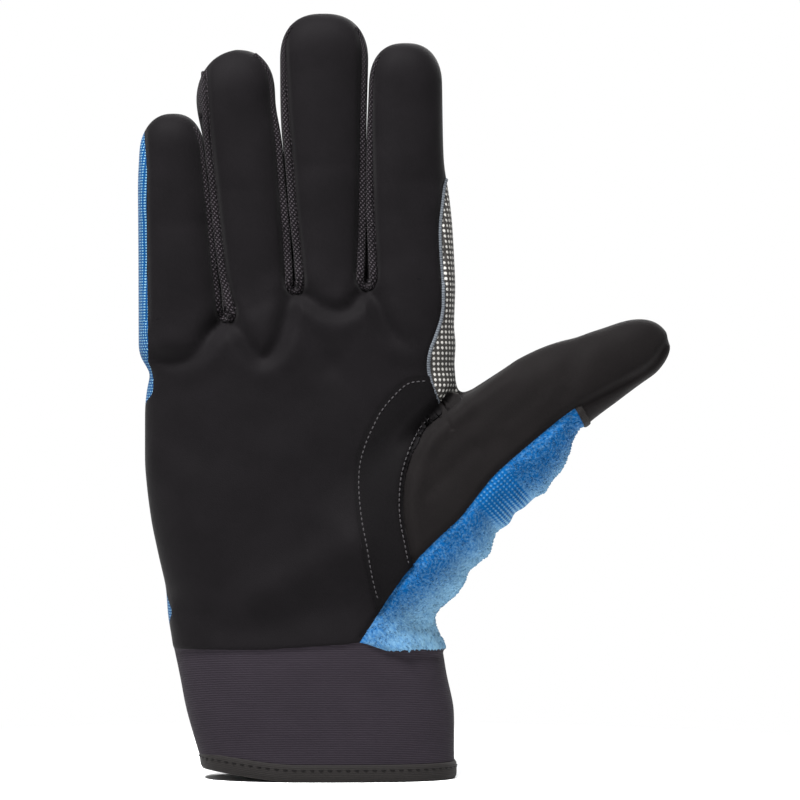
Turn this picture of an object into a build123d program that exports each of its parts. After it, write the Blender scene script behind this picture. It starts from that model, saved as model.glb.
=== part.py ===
"""A right-hand, full-finger sailing glove with a hook-and-loop wrist closure, standing on the rim of its cuff.

Frame, in millimetres: +Z runs up the hand to the fingertips, the palm faces -Y and the thumb points to +X.
The origin is the centre of the wrist opening, in the plane of the cuff's rim.

The glove is sewn from panels. Each finger folds about level creases on its palm side, the thumb swings about an
upright crease and folds about one across its tip. The panels that meet at a fold stop CUT short of it on each side.
"""

import os
from math import cos, radians, sin

from build123d import *

# --- fabric -----------------------------------------------------------------------------------------------------
WALL = 1.5  # thickness of a sewn panel
CUT = 0.3  # how far each panel stops short of a fold
FLAT = 1.0  # half the flat stretch left at each end of a rounded section
SEAM_Y = -1.0  # depth of the seam between the palm and the back of the hand
CUFF_SEAM_Y = 2.0  # depth of the seam between the two halves of the cuff
FOURCHETTE_INSET = 5.5  # how far a fourchette's edge lies behind the face of the finger
FAR = 300.0  # beyond every edge of the glove

# --- hand and cuff, as (height, left edge, right edge, half depth) --------------------------------------------------
CUFF_HEIGHT = 44.0
CUFF_SECTIONS = [
    (0.0, -42.5, 43.0, 22.5),
    (22.0, -47.5, 43.4, 21.8),
    (CUFF_HEIGHT, -52.0, 39.0, 20.5),
]
HAND_SECTIONS = [
    (CUFF_HEIGHT, -52.0, 39.0, 20.5),
    (76.0, -57.5, 38.0, 18.5),
    (110.0, -62.0, 39.0, 17.0),
    (137.0, -62.0, 42.5, 15.5),
    (176.0, -64.4, 43.4, 13.4),
]

# --- fingers: base and tip are (height, left edge, right edge), and fold is the height of the middle crease ---------
FINGERS = {
    "little": dict(base=(158.0, -63.4, -36.0), tip=(225.5, -62.2, -42.6), fold=188.0),
    "ring": dict(base=(164.0, -34.0, -12.4), tip=(247.0, -42.4, -17.4), fold=199.0),
    "middle": dict(base=(168.0, -11.0, 12.2), tip=(259.0, -15.0, 14.0), fold=207.0),
    "index": dict(base=(168.0, 13.6, 43.4), tip=(249.0, 15.2, 39.2), fold=202.0),
}
OUTER_SIDE = {"little": -1, "index": 1}  # the side of a finger that faces no neighbour
FINGER_HALF_DEPTH = (12.8, 10.8)  # at the base and at the tip
TIP_ROUND = 6.5  # radius round a fingertip
TIP_CAP = 12.0  # length of the tip, where front and back meet with no fourchette between
WEB_HEIGHT = 5.0  # how far a web reaches down between two fingers

# --- thumb: a cone that grows out of the hand, then a tip ------------------------------------------------------------
THUMB_Y = -5.0
THUMB_ROOT = (22.0, 78.0)  # X and Z of the middle of the cone's base, inside the hand
THUMB_RISE = 43.3  # degrees above +X
THUMB_LENGTH = 84.5  # from the cone's base to the fold at the tip
THUMB_HALF_WIDTH = (27.0, 14.6)
THUMB_HALF_DEPTH = (17.5, 12.3)
THUMB_FOLD_X = 43.5  # the upright plane where the thumb leaves the hand
THUMB_SEAM = (8.0, 3.0)  # where the stretch back starts, across the thumb, at the cone's base and at its fold
TIP_RISE = 27.6
TIP_LENGTH = 36.0
TIP_HALF_WIDTH = (14.4, 10.0)
TIP_HALF_DEPTH = (12.2, 9.6)
TIP_SEAM = 4.0
TIP_TAPE_WIDTH = 4.0
THUMB_LAP = 8.0  # how far cone and tip run past their fold before they are cut

# --- trims --------------------------------------------------------------------------------------------------------
PATCH_THICKNESS = 1.0
TAPE_PROUD = 0.8  # how far a folded tape stands out from the panel it holds
HEM_HEIGHT = 4.6
HEM_LAP = 1.2  # thickness of the hem's tape under the cuff's raw edge
GRIP_TAPE_WIDTH = 2.2
GRIP_BOTTOM = 124.5
LABEL_X, LABEL_Z, LABEL_THICKNESS = (-10.0, 10.0), (22.0, 40.0), 0.5

# --- wrist closure: layers on the back of the cuff, at heights above its surface -------------------------------------
STRAP_X = (-32.0, 36.0)
STRAP_Z = (14.0, 38.0)
STRAP_LAYER = (1.8, 3.6)
HOOK_LAYER = (1.0, 1.8)
LOOP_LAYER = (0.0, 0.7)
TAB_LAYER = (1.4, 4.1)
ANCHOR_LAYER = (0.0, 3.6)
HOOK_X = (-31.0, -8.0)
LOOP_X = (-33.0, 4.0)
TAB_END_X = -39.0
ANCHOR_END_X = 41.0
PATCH_EDGE = 2.0  # how far the hook and loop patches stay inside the strap's edges

# --- seams on the hand, as X and Z ---------------------------------------------------------------------------------
CROTCH_PATCH_EDGE = [(38.0, 136.6), (25.3, 134.8), (13.2, 119.3), (8.8, 99.0), (11.9, 77.9), (19.0, 48.0)]
THUMB_ROOT_EDGE = [(46.0, 129.5), (34.7, 120.5), (27.0, 105.9), (25.2, 92.0), (30.5, 70.0)]
STRETCH_EDGE = [(9.0, 43.0), (19.0, 56.0), (34.7, 78.0), (58.5, 105.7)]
GRIP_EDGE_FRONT = [(37.4, 180.0), (37.0, 162.0), (34.2, 143.0), (35.5, 131.0), (39.5, 120.0)]
GRIP_EDGE_BACK = [(16.0, 180.0), (19.0, 150.0), (31.0, 131.0), (46.0, 120.0)]


# --- tools --------------------------------------------------------------------------------------------------------
def rounded_loft(sections):
    """A solid through rounded sections, each (plane, left, right, half depth)."""
    with BuildPart() as body:
        for plane, left, right, half_depth in sections:
            with BuildSketch(plane):
                with Locations(((left + right) / 2, 0)):
                    radius = min((right - left) / 2, half_depth) - FLAT
                    RectangleRounded(right - left, 2 * half_depth, radius)
        loft()
    return body.part


def upright_loft(sections, grow):
    """A solid through level sections, each grown by a distance all round."""
    return rounded_loft(
        [(Plane.XY.offset(z), left - grow, right + grow, half + grow) for z, left, right, half in sections]
    )


def slab(plane, low, high):
    """A wide slab along a plane's normal, from low to high."""
    with BuildPart() as block:
        with BuildSketch(plane.offset(low)):
            Rectangle(2 * FAR, 2 * FAR)
        extrude(amount=high - low)
    return block.part


def right_of(edge, low_y, high_y):
    """A block between two depths, from a curve through edge to far out on the thumb's side."""
    with BuildPart() as block:
        with BuildSketch(Plane.XZ.offset(-high_y)):
            with BuildLine():
                curve = Spline(*edge)
                Polyline(curve @ 1, (FAR, edge[-1][1]), (FAR, edge[0][1]), curve @ 0)
            make_face()
        extrude(amount=high_y - low_y)
    return block.part


def cut_out(whole, keep=(), drop=()):
    """What of a solid lies inside every block of keep and outside every block of drop."""
    with BuildPart() as piece:
        add(whole)
        for block in keep:
            add(block, mode=Mode.INTERSECT)
        for block in drop:
            add(block, mode=Mode.SUBTRACT)
    return piece.part


def joined(*parts):
    with BuildPart() as whole:
        for part in parts:
            add(part)
    return whole.part


def write(name, part):
    part.label = name
    export_step(part, f"parts/{name}.step")


os.makedirs("parts", exist_ok=True)
DEPTH = Plane(origin=(0, 0, 0), x_dir=(1, 0, 0), z_dir=(0, 1, 0))  # its normal runs to the back of the hand


# --- the thumb's form ---------------------------------------------------------------------------------------------
def thumb_plane(x, z, rise):
    """Local Z runs up the thumb, local X across it to its outer edge, local Y to the palm's back."""
    turn = radians(rise)
    return Plane(origin=(x, THUMB_Y, z), x_dir=(sin(turn), 0, -cos(turn)), z_dir=(cos(turn), 0, sin(turn)))


thumb = thumb_plane(*THUMB_ROOT, THUMB_RISE)
fold_at = thumb.offset(THUMB_LENGTH).origin
thumb_fold = thumb_plane(fold_at.X, fold_at.Z, (THUMB_RISE + TIP_RISE) / 2)
thumb_tip = thumb_plane(fold_at.X, fold_at.Z, TIP_RISE)


def tapered(plane, start, end, half_widths, half_depths, grow):
    """A form along a plane's normal whose stated sizes are those at 0 and at end."""
    sections = []
    for along in (start, end):
        width, depth = (a + (b - a) * along / end for a, b in (half_widths, half_depths))
        sections.append((plane.offset(along), -width - grow, width + grow, depth + grow))
    return rounded_loft(sections)


def thumb_cone(grow):
    """The thumb from inside the hand to past the fold at its tip."""
    end = THUMB_LENGTH + THUMB_LAP
    ends = [(a, a + (b - a) * end / THUMB_LENGTH) for a, b in (THUMB_HALF_WIDTH, THUMB_HALF_DEPTH)]
    return tapered(thumb, 0, end, *ends, grow)


def tip_form(inset):
    with BuildPart() as form:
        add(tapered(thumb_tip, -THUMB_LAP, TIP_LENGTH - inset, TIP_HALF_WIDTH, TIP_HALF_DEPTH, -inset))
        end = form.faces().sort_by(Axis(thumb_tip.origin, thumb_tip.z_dir))[-1]
        fillet(end.edges(), TIP_ROUND - inset)
    return form.part


# --- the hand, with the thumb's root, closed by nothing at the wrist or the fingers ----------------------------------
def above_hand():
    """A block that stands on the finger bases."""
    steps = [(-FAR, FINGERS["little"]["base"][0] - CUT)]
    for finger in FINGERS.values():
        z, left, right = finger["base"]
        steps += [(left - CUT, z - CUT), (right + CUT, z - CUT)]
    steps += [(FAR, steps[-1][1]), (FAR, 2 * FAR), (-FAR, 2 * FAR)]
    with BuildPart() as block:
        with BuildSketch(Plane.XZ.offset(-FAR)):
            with BuildLine():
                Polyline(*steps, close=True)
            make_face()
        extrude(amount=2 * FAR)
    return block.part


upper_zone = above_hand()
beyond_fold = slab(Plane.YZ, THUMB_FOLD_X - CUT, FAR)
below_hand = slab(Plane.XY, -FAR, CUFF_HEIGHT)


def hand_form(grow):
    root = cut_out(thumb_cone(grow), drop=[beyond_fold, below_hand])
    return cut_out(joined(upright_loft(HAND_SECTIONS, grow), root), drop=[upper_zone])


hand_outer = hand_form(0)
hand_inner = joined(upright_loft(HAND_SECTIONS, -WALL), thumb_cone(-WALL))
hand_shell = cut_out(hand_outer, drop=[hand_inner])

# --- panels of the hand -------------------------------------------------------------------------------------------
front_half, back_half = slab(DEPTH, -FAR, SEAM_Y), slab(DEPTH, SEAM_Y, FAR)
stretch_zone = right_of(STRETCH_EDGE, -FAR, SEAM_Y)
root_zone = right_of(THUMB_ROOT_EDGE, -FAR, SEAM_Y)
grip_zone = cut_out(
    joined(right_of(GRIP_EDGE_FRONT, -FAR, SEAM_Y), right_of(GRIP_EDGE_BACK, SEAM_Y, FAR)),
    keep=[slab(Plane.XY, GRIP_BOTTOM, FAR)],
)
front_shell = cut_out(hand_shell, keep=[front_half])
write("palm_suede", cut_out(front_shell, drop=[stretch_zone, root_zone, grip_zone]))
write("thumb_root_suede", cut_out(front_shell, keep=[root_zone], drop=[stretch_zone, grip_zone]))
write("thumb_root_stretch", cut_out(front_shell, keep=[stretch_zone]))
write("back_stretch", cut_out(hand_shell, keep=[back_half], drop=[grip_zone]))
write("index_side_grip", cut_out(hand_shell, keep=[grip_zone]))

# A crescent guards the crotch of the thumb, and a folded tape holds the raw edge of the grip panel.
tape_edge = [(x - GRIP_TAPE_WIDTH, z) for x, z in GRIP_EDGE_FRONT]
tape_zone = right_of(tape_edge, -FAR, SEAM_Y)
patch_layer = cut_out(hand_form(PATCH_THICKNESS), keep=[right_of(CROTCH_PATCH_EDGE, -FAR, SEAM_Y)], drop=[hand_outer])
write("thumb_crotch_patch", cut_out(patch_layer, drop=[stretch_zone, root_zone, tape_zone]))
tape_layer = cut_out(hand_form(TAPE_PROUD), keep=[tape_zone, slab(Plane.XY, GRIP_BOTTOM, FAR)], drop=[hand_outer])
write("grip_tape", cut_out(tape_layer, drop=[right_of(GRIP_EDGE_FRONT, -FAR, SEAM_Y)]))

# --- webs that close the hand between two fingers ---------------------------------------------------------------------
with BuildPart() as webs:
    fingers = list(FINGERS.values())
    for left_finger, right_finger in zip(fingers, fingers[1:]):
        start = left_finger["base"][2] - WALL
        end = right_finger["base"][1] + WALL
        top = min(left_finger["base"][0], right_finger["base"][0]) - CUT
        with BuildSketch(Plane.XY.offset(top - WEB_HEIGHT)):
            with Locations(((start + end) / 2, 0)):
                Rectangle(end - start, 2 * (HAND_SECTIONS[-1][3] - WALL))
        extrude(amount=WEB_HEIGHT)
write("fourchette_webs", webs.part)


# --- fingers ------------------------------------------------------------------------------------------------------
def finger_form(finger, inset):
    """A finger from its base to its rounded tip."""
    (base_z, *base), (tip_z, *tip) = finger["base"], finger["tip"]
    ends = zip((base_z, tip_z - inset), (base, tip), FINGER_HALF_DEPTH)
    with BuildPart() as form:
        add(upright_loft([(z, left, right, depth) for z, (left, right), depth in ends], -inset))
        fillet(form.faces().sort_by(Axis.Z)[-1].edges(), TIP_ROUND - inset)
    return form.part


def write_finger(name, finger):
    base_z, tip_z = finger["base"][0], finger["tip"][0]
    shell = cut_out(finger_form(finger, 0), drop=[finger_form(finger, WALL)])
    edge = FINGER_HALF_DEPTH[0] - FOURCHETTE_INSET
    cap = slab(Plane.XY, tip_z - TIP_CAP, FAR)
    front = joined(slab(DEPTH, -FAR, -edge), cut_out(slab(DEPTH, -FAR, 0), keep=[cap]))
    back = joined(slab(DEPTH, edge, FAR), cut_out(slab(DEPTH, 0, FAR), keep=[cap]))
    stretches = {
        f"{name}_proximal": slab(Plane.XY, base_z + CUT, finger["fold"] - CUT),
        f"{name}_distal": slab(Plane.XY, finger["fold"] + CUT, FAR),
    }
    for label, stretch in stretches.items():
        part_shell = cut_out(shell, keep=[stretch])
        walls = cut_out(part_shell, drop=[front, back])
        back_panel = cut_out(part_shell, keep=[back])
        write(f"{label}_suede", cut_out(part_shell, keep=[front]))
        if name not in OUTER_SIDE:
            write(f"{label}_back", back_panel)
            write(f"{label}_fourchettes", walls)
            continue
        middle = sum(finger["base"][1:]) / 2
        outer_side = slab(Plane.YZ, *sorted((middle, OUTER_SIDE[name] * FAR)))
        outer_wall = cut_out(walls, keep=[outer_side])
        write(f"{label}_fourchette", cut_out(walls, drop=[outer_side]))
        if label == "index_proximal":
            write("index_proximal_grip", outer_wall)
            write(f"{label}_back", back_panel)
        else:
            write(f"{label}_back", joined(back_panel, outer_wall))


for name, finger in FINGERS.items():
    write_finger(name, finger)


# --- thumb --------------------------------------------------------------------------------------------------------
def beyond_seam(plane, start, end, length):
    """A block on the outer side of a seam across the thumb, from start at the plane to end at a length up it."""
    face = Plane(origin=plane.origin, x_dir=plane.x_dir, z_dir=(0, -1, 0))
    slope = (end - start) / length
    low, high = -length, 2 * length
    with BuildPart() as block:
        with BuildSketch(face.offset(-FAR)):
            with BuildLine():
                Polyline((start + slope * low, low), (FAR, low), (FAR, high), (start + slope * high, high), close=True)
            make_face()
        extrude(amount=2 * FAR)
    return block.part


behind_thumb = slab(DEPTH, THUMB_Y, FAR)
cone_back = joined(beyond_seam(thumb, *THUMB_SEAM, THUMB_LENGTH), behind_thumb)
tip_back = joined(beyond_seam(thumb_tip, TIP_SEAM, TIP_SEAM, TIP_LENGTH), behind_thumb)
before_tip = slab(thumb_fold, -FAR, -CUT)
cone_shell = cut_out(thumb_cone(0), keep=[slab(Plane.YZ, THUMB_FOLD_X + CUT, FAR), before_tip], drop=[thumb_cone(-WALL)])
tip_shell = cut_out(tip_form(0), keep=[slab(thumb_fold, CUT, FAR)], drop=[tip_form(WALL)])
tip_tape_zone = slab(thumb_fold, 0, CUT + TIP_TAPE_WIDTH)
write("thumb_proximal_suede", cut_out(cone_shell, drop=[cone_back]))
write("thumb_proximal_stretch", cut_out(cone_shell, keep=[cone_back]))
write("thumb_distal_suede", cut_out(tip_shell, drop=[tip_back]))
write("thumb_distal_cap", cut_out(tip_shell, keep=[tip_back], drop=[tip_tape_zone]))
write("thumb_distal_tape", cut_out(tip_shell, keep=[tip_back, tip_tape_zone]))

# --- cuff ---------------------------------------------------------------------------------------------------------
cuff_outer, cuff_inner = upright_loft(CUFF_SECTIONS, 0), upright_loft(CUFF_SECTIONS, -WALL)
cuff_front, cuff_rear = slab(DEPTH, -FAR, CUFF_SEAM_Y), slab(DEPTH, CUFF_SEAM_Y, FAR)
cuff_shell = cut_out(cuff_outer, drop=[cuff_inner, slab(Plane.XY, -FAR, HEM_LAP)])
write("cuff_knit", cut_out(cuff_shell, keep=[cuff_front]))
write("cuff_back", cut_out(cuff_shell, keep=[cuff_rear]))
hem_ring = cut_out(upright_loft(CUFF_SECTIONS, TAPE_PROUD), drop=[upright_loft(CUFF_SECTIONS, -WALL - TAPE_PROUD)])
write("hem_tape", cut_out(hem_ring, keep=[slab(Plane.XY, 0, HEM_HEIGHT)], drop=[cuff_shell]))
label_layer = cut_out(cuff_inner, drop=[upright_loft(CUFF_SECTIONS, -WALL - LABEL_THICKNESS)])
write("care_label", cut_out(label_layer, keep=[slab(Plane.YZ, *LABEL_X), slab(Plane.XY, *LABEL_Z), cuff_rear]))


# --- wrist closure ------------------------------------------------------------------------------------------------
def closure_band(layer, x_range, edge=0.0):
    """A band round the back of the cuff, between two heights above its surface."""
    low, high = layer
    band = cut_out(upright_loft(CUFF_SECTIONS, high), drop=[upright_loft(CUFF_SECTIONS, low)])
    across = slab(Plane.YZ, *x_range)
    return cut_out(band, keep=[across, slab(Plane.XY, STRAP_Z[0] + edge, STRAP_Z[1] - edge), cuff_rear])


write("loop_patch", closure_band(LOOP_LAYER, LOOP_X, PATCH_EDGE))
write("strap_anchor", closure_band(ANCHOR_LAYER, (STRAP_X[1] + CUT, ANCHOR_END_X)))
write("closure_strap", closure_band(STRAP_LAYER, (STRAP_X[0], STRAP_X[1] - CUT)))
write("hook_patch", closure_band(HOOK_LAYER, HOOK_X, PATCH_EDGE))
write("strap_pull_tab", closure_band(TAB_LAYER, (TAB_END_X, STRAP_X[0])))
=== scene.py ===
import math
from itertools import product

import bpy
import numpy as np
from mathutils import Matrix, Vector


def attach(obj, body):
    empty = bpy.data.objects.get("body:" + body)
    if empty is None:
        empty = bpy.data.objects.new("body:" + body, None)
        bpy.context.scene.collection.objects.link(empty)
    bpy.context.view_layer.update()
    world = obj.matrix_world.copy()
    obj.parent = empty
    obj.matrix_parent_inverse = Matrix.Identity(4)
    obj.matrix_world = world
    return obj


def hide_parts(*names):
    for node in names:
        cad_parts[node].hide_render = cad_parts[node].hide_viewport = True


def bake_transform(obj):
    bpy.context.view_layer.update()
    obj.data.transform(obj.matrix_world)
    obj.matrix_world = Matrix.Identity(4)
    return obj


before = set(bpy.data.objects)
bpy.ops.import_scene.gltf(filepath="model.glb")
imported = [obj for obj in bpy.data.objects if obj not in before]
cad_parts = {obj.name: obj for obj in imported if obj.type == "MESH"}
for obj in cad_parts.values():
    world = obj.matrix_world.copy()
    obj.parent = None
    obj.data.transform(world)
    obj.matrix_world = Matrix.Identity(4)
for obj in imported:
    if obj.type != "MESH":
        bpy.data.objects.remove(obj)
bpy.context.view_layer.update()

# Everything below is measured in millimetres in the glove's frame and written out in metres.
MM = 0.001
STEP = 0.5  # spacing of the smoothed curves' own points
HAND_GRID, FINGER_GRID = ((0.9, 0.8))
PANEL = 1.1  # thickness of the sewn panels
HAND_POWER, FINGER_POWER, THUMB_POWER = 2.6, 2.45, 2.35  # 2 is an ellipse, more is squarer

# --- outlines, as (height, x), (height, depth) or, for the hand's top, (x, height) ---
HAND_LEFT = [(0, -41.2), (5, -41.8), (14, -44.5), (24, -47.3), (35, -49.3), (44, -51.3), (55, -53.4),
             (65, -54.0), (75, -56.4), (86, -58.8), (96, -60.2), (106, -61.2), (126, -61.2), (133, -60.4),
             (139, -58.6), (147, -62.7), (157, -63.5), (176, -63.6)]
HAND_RIGHT = [(0, 43.9), (24, 43.9), (35, 41.3), (45, 39.8), (55, 35.8), (65, 36.5), (90, 38), (112, 38.5),
              (120, 40), (128, 43.5), (132, 44.6), (137, 44.3), (147, 43.4), (157, 43.9), (176, 44.2)]
HAND_DEPTH = [(0, 22.5), (22, 21.8), (44, 20.5), (76, 18.5), (110, 17), (137, 15.5), (157, 14), (176, 13.4)]
HAND_TOP = [(-64, 149), (-50, 152), (-33.5, 156.5), (-22, 162.5), (-10.3, 167), (14.2, 168.5), (30, 166),
            (45, 158)]
FINGER_DEPTH = [(140, 13.4), (170, 12.8), (255, 10.7)]
FINGERS = {
    "little": dict(
        left=[(140, -63.3), (177, -63.4), (203, -63.6), (217, -62.8), (226, -61.4)],
        right=[(140, -33), (157, -34.6), (177, -36.9), (194, -38.5), (205, -39.7), (217, -41.1),
               (226, -41.6)],
        left_seam=[(135, -61), (140, -59.8), (147, -59.6), (177, -60.2), (208, -60.2), (226, -62)],
        right_seam=[(150, -35), (160.5, -36), (203, -40.2), (214, -41), (226, -42.5)],
        top=225.5, cap=13.5, fold=188, part=174, start=((-64, 154.5), (-33.5, 158.2))),
    "ring": dict(
        left=[(140, -33), (157, -34.6), (177, -36.9), (194, -38.5), (205, -39.7), (217, -41.4),
              (228, -43.9), (247, -43.2)],
        right=[(140, -10.2), (165, -10.4), (174, -10.7), (186, -11.8), (205, -13.6), (213, -14.2),
               (220, -15.1), (228, -16.9), (247, -17.2)],
        left_seam=[(150, -29.6), (159, -30.3), (170, -33), (194, -36), (217, -38.4), (232, -39.4),
                   (247, -40.5)],
        right_seam=[(150, -12.6), (170, -13.4), (194, -15), (220, -16.9), (247, -19)],
        top=247.2, cap=15.5, slant=0.2, fold=199, part=186, start=((-33.5, 158.2), (-10.3, 168.8))),
    "middle": dict(
        left=[(140, -10), (165, -10.4), (174, -10.7), (186, -11.8), (205, -13.6), (213, -14.2),
              (220, -14.9), (228, -15.2), (259, -15.4)],
        right=[(140, 14), (218, 14.1), (232, 14.4), (245, 14.8), (259, 14.4)],
        left_seam=[(150, -6.2), (174, -7.3), (194, -9.5), (225, -12), (248, -13.4), (259, -14)],
        right_seam=[(150, 10), (174, 10.8), (186, 11.4), (217, 12.2), (248, 12.6), (259, 11)],
        top=259.5, cap=16.5, fold=207, part=190, start=((-10.3, 168.8), (14.2, 170.2))),
    "index": dict(
        left=[(140, 14), (198, 14), (218, 14.1), (232, 14.8), (249, 15.4)],
        right=[(140, 43.6), (155, 43.9), (167, 44.4), (177, 43.9), (188, 43.3), (198, 42.2), (208, 40.4),
               (218, 40.1), (239, 39.8), (249, 39.4)],
        left_seam=[(150, 18.6), (174, 17.7), (194, 16.7), (233, 15.4), (249, 15)],
        right_seam=[(150, 37.9), (157, 40), (166, 40), (176, 39.2), (187, 38.9), (196, 39.9), (203, 40.6),
                    (210, 46)],
        top=249.5, cap=14.5, fold=202, part=188, start=((14.2, 170.2), (45.2, 168))),
}
WEBS = {
    "little": [(-36.6, 166), (-36.2, 160.5), (-35.9, 157.5), (-34.6, 155.3), (-33, 154.5), (-31.3, 155.3),
               (-30.1, 157.5), (-30, 160), (-30.9, 166)],
    "ring": [(-13.6, 176), (-13.4, 170), (-13.1, 167.2), (-11.8, 165), (-10.1, 164.2), (-8.4, 165),
             (-7.1, 167.2), (-7, 170), (-7.4, 176)],
    "middle": [(10.8, 178), (10.9, 172), (11.1, 168.6), (12.4, 166.4), (14.2, 165.6), (16, 166.4),
               (17.4, 168.6), (17.6, 172), (17.8, 178)],
}

# --- thumb, as (distance up it, distance across it), from a point inside the hand ---
THUMB_ROOT = (22.0, 78.0)  # x and height of that point
THUMB_RISE = math.radians(43.3)
THUMB_Y = -5.0
THUMB_UPPER = [(-20, -26), (0, -27), (14, -25.5), (27, -24.5), (45, -22.8), (62, -19.6), (76, -16.8),
               (84.5, -14.1), (92, -10.4), (99.6, -6.4), (106, -3.5), (118, -0.3)]
THUMB_LOWER = [(-20, 22), (-5, 25.1), (4, 26.9), (9.4, 25.3), (14, 23.3), (22.6, 23.7), (27, 22.5),
               (30, 20.7), (35, 21.3), (38.6, 19.8), (42.5, 21.6), (45.5, 20.4), (53.3, 21.7), (62, 19.8),
               (66, 17.4), (70, 15.2), (76, 15.2), (84.5, 15.9), (92, 16.9), (100, 17.9), (106, 18.8),
               (118, 19.4)]
THUMB_DEPTH = [(-20, 16), (0, 17.2), (40, 14.6), (84.5, 12.2), (104, 10), (118, 9)]
THUMB_END, THUMB_CAP = 118.5, 15.0
THUMB_SEAM = [(9, 41), (12, 47), (16, 52.7), (22, 62.6), (29.6, 73.1), (37.7, 81.3), (45.9, 88.4),
              (53, 97.9), (57.8, 103.7), (66, 110.8), (73.8, 117.3), (81.9, 123.8), (86.7, 126.8),
              (97.9, 132.6), (110.2, 139.1), (115, 146.2), (121, 156)]
# Up and across the thumb, where the stretch back meets the tip's cap.
TAPE_LINE = [(78, 8), (76, 16), (75, 22)]
TAPE_WIDTH = 2.4
THUMB_CUT_X, THUMB_PART_X = 45.4, 64.0  # where its root starts to swing, and where it is parted from its tip
THUMB_FOLD_AT, THUMB_FOLD_ALONG = (83.5, 136.0), (0.815, 0.580)  # x and height of the fold, and its way up
THUMB_BEND, FINGER_BEND = 9.0, 10.0  # how far each side of its fold the cloth turns
BASE_BEND = 14.0  # length over which a finger turns at its base
RAISED = {"patch": 0.9, "thumb_tape": 0.5}  # how far a panel lies above the others

# --- seams of the palm, as (x, height) ---
PATCH_OUTER = [(40, 136.4), (34.7, 136.2), (29.2, 135.8), (26.2, 134.6), (22.1, 130.6), (18, 125.8),
               (15.3, 120.7), (12.6, 114.9), (10.9, 109.5), (10.2, 104.7), (10.2, 97.2), (11.2, 86.7),
               (13.3, 75.5), (15.6, 64.6), (18, 56.4), (20, 48)]
PATCH_INNER = [(44, 128), (39.4, 124.4), (37.1, 122.4), (34.3, 120), (32.3, 117.2), (30.3, 111.8),
               (28.2, 106.1), (26.9, 101), (26.4, 92.8), (26.9, 86.7), (28.2, 80.6), (29.6, 73.1), (32, 64)]
GRIP_FRONT = [(40, 178), (40, 166), (40, 157.8), (37.9, 150.6), (35.1, 143.5), (35.1, 137), (37.1, 130.6),
              (39.4, 124.8), (46, 112)]
CUFF_TOP = [(-66, 44), (-20, 44.4), (8, 46.2), (12.2, 47.2), (20, 44.2), (28, 42), (40, 42.4), (60, 43)]
CUFF_TOP_BACK = 44.0
GRIP_BACK = [(16, 180), (19, 150), (31, 131), (46, 120)]
GRIP_LOW = [(36, 125), (40, 127.6), (43, 130.2), (50, 133.4)]  # the grip's lower end, above the thumb
GRIP_END, GRIP_BACK_X = 203.0, 36.0  # its upper end, and its edge on the index finger's back
TERRY_BACK = [(26, 40), (24, 60), (26, 90), (36, 112), (46, 122), (60, 140)]
# The hem's section, as (height above the rim, distance out of the cuff's face).
HEM_PROFILE = [(5.9, -0.2), (5.9, 0.3), (5.2, 0.75), (4.1, 0.85), (2.2, 0.9), (0.9, 0.75), (0.15, 0.3),
               (0, -0.5), (0.15, -1.3), (0.9, -1.8), (3, -1.9), (4.6, -1.7), (5, -1.2)]
HEM_STITCH, STITCH_PITCH, STITCH_LENGTH = 3.0, 1.75, 1.2
RIM = 1.2  # where the cuff's panels end, inside the hem
BAND_LOW = 131.0  # where the blue starts to show beside the palm, below the little finger
RIBS = (31.0, 34.0, 45.0, 48.0)  # where the ribbed zone of the thumb's back starts and ends, up the thumb
RIB_PITCH, RIB_CELL = 1.5, 1.3
TERRY_RIM_SHEEN = ((13.0, 31.0, 0.0, 0.62), (34.0, 54.0, 1.0, 0.4))  # painted highlight: the terry pales towards the thumb's outer rim, where its pile catches the light; across the thumb: from, to, paleness at each
TUFT_PITCH = 1.1
PIPING = 1.35  # radius of the welts beside the seams of the fourchettes
WELT_TAPER = {"root": (1.0, 1.0), "tip": (1.0, 0.9, 0.55)}
ROPE_STEP, ROPE_SIDES = 0.55, 12
RIM_SINK = 0.45  # how much of a raised panel's lift its edge loses
EDGING = 0.65  # radius of the grip panel's edging

# --- the studio ---
CAMERA_FAR, FRAME_WIDTH, SENSOR = 1500.0, 272.0, 36.0
FRAME_MIDDLE = (25.5, 128.2)  # x and height
WHITE = (1, 1, 1, 1)
LAMP_AIM = (0.02, 0, 0.13)
FLOOR_FADE = (0.06, 0.26)  # metres from the middle, from floor to white
ROOM = 0.4  # strength of the pale room's light
LAMPS = [  # name, place and size in metres, power
    ("key", (-0.22, -0.4, 0.95), 0.35, 42.0),
    ("fill", (0.7, -0.7, 0.4), 0.6, 3.0),
    ("behind", (0.3, 0.8, 0.7), 0.7, 14.0),
]
ALBEDO = 0.3  # the lamps are strong enough to whiten the floor, so the cloth is darker than it looks
SPECULAR = 0.03

# --- relief of the cloth ---
CREASES = [  # start and end as (x, height), half width, rise
    ((-10, 156), (2, 140), 4.5, -0.9), ((2, 140), (16, 126), 6, -0.7), ((-30, 150), (-24, 128), 5, 0.5),
    ((-58, 118), (-36, 108), 7, -0.5), ((-24, 62), (8, 78), 6.5, 1.7), ((-20, 52), (6, 60), 6, -1.1),
    ((-6, 128), (4, 92), 7, -0.5), ((-52, 62), (-30, 50), 5, -0.7), ((-46, 100), (-42, 72), 10, 1.5),
    ((24, 176), (36, 186), 5, -0.3),
    ((36, 98), (50, 112), 3, -0.6), ((54, 112), (72, 128), 4, -0.6),
    ((62, 118), (80, 133), 3, 0.6), ((80, 132), (86, 146), 4, -0.8), ((88, 130), (92, 148), 5, 0.4),
]
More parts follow.
